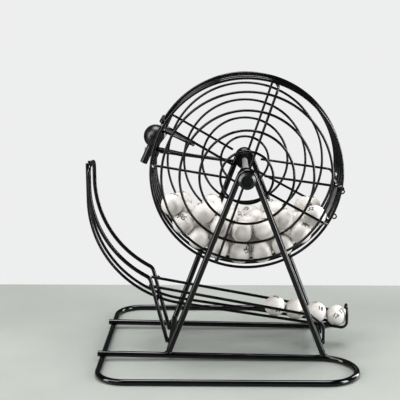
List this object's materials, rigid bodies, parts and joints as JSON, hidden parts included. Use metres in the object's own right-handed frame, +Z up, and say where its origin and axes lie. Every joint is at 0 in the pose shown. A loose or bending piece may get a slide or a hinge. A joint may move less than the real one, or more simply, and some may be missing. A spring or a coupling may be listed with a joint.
{
  "type": "lottery machine",
  "caption": "Tabletop lottery machine: a crank-turned round wire cage on a leaning wire stand, with numbered balls, a ball exit, a loading door, a curved chute and a ball track",
  "frame": {"origin": "on the table, straight below the middle of the axle", "axes": "+X right as seen from the front, where the track ends; +Y to the back, where the crank is; +Z up"},
  "size_m": [0.2768, 0.236, 0.2911],
  "materials": {
    "wire": "gloss black enamel on steel wire",
    "steel": "bright drawn steel",
    "sheet": "dark grey satin sheet steel",
    "plastic": "moulded gloss black",
    "nylon": "matt black",
    "balls": "satin off-white"
  },
  "bodies": {
    "frame": {"base_loop": "wire", "front_stand_wire": "wire", "rear_stand_wire": "wire", "left_cross_bar": "wire", "right_cross_bar": "wire", "front_bearing_plate": "wire", "rear_bearing_plate": "wire", "front_bush": "nylon", "rear_bush": "nylon", "chute_hoop": "wire", "chute_saddle": "wire", "track_floor": "wire", "front_side_rail": "wire", "rear_side_rail": "wire", "track_cross_wire": "wire"},
    "drum": {"axle": "steel", "front_hub": "wire", "rear_hub": "wire", "set_screws": "steel", "axle_cap": "plastic", "upper_long_spoke": "wire", "lower_long_spoke": "wire", "exit_spoke_upper": "wire", "exit_spoke_lower": "wire", "door_spoke_upper": "wire", "door_spoke_lower": "wire", "front_ring_1": "wire", "front_ring_2": "wire", "front_ring_3": "wire", "front_ring_4": "wire", "rear_ring_1": "wire", "rear_ring_2": "wire", "rear_ring_3": "wire", "rear_ring_4": "wire", "rim_hoop_1": "wire", "rim_hoop_2": "wire", "rim_hoop_4": "wire", "rim_hoop_5": "wire", "middle_hoop_top": "wire", "middle_hoop_bottom": "wire", "top_guard": "wire", "door_lugs": "wire", "door_pin": "steel", "exit_plate": "sheet", "exit_collar": "steel", "gate_lugs": "wire", "gate_pin": "steel", "crank_boss": "plastic", "crank_arm": "wire", "grip_screw": "steel"},
    "door": {"door_panel": "sheet", "door_eye": "steel"},
    "gate": {"ball_gate": "sheet"},
    "grip": {"grip": "plastic"},
    "tray_balls": {"tray_balls": "balls"},
    "ball_pile": {"drum_balls": "balls"}
  },
  "joints": [
    {"name": "drum_turn", "type": "hinge", "parent": "frame", "child": "drum", "pos_m": [0, 0, 0.1915], "axis": [0, 1, 0], "continuous": true},
    {"name": "door_swing", "type": "hinge", "parent": "drum", "child": "door", "pos_m": [0.09803, 0, 0.17333], "axis": [0, -1, 0], "range_deg": [0, 100]},
    {"name": "gate_swing", "type": "hinge", "parent": "drum", "child": "gate", "pos_m": [-0.08541, 0, 0.24293], "axis": [0, 1, 0], "range_deg": [0, 60]},
    {"name": "grip_fold", "type": "hinge", "parent": "drum", "child": "grip", "pos_m": [-0.10594, 0.07645, 0.19889], "axis": [-0.9914, 0, 0.1305], "range_deg": [0, 90]},
    {"name": "tray_roll", "type": "slide", "parent": "frame", "child": "tray_balls", "axis": [-0.9882, 0, 0.153], "range_m": [0, 0.085]},
    {"name": "pile_tumble", "type": "hinge", "parent": "frame", "child": "ball_pile", "pos_m": [0, 0, 0.1915], "axis": [0, 1, 0], "range_deg": [-30, 30]}
  ]
}
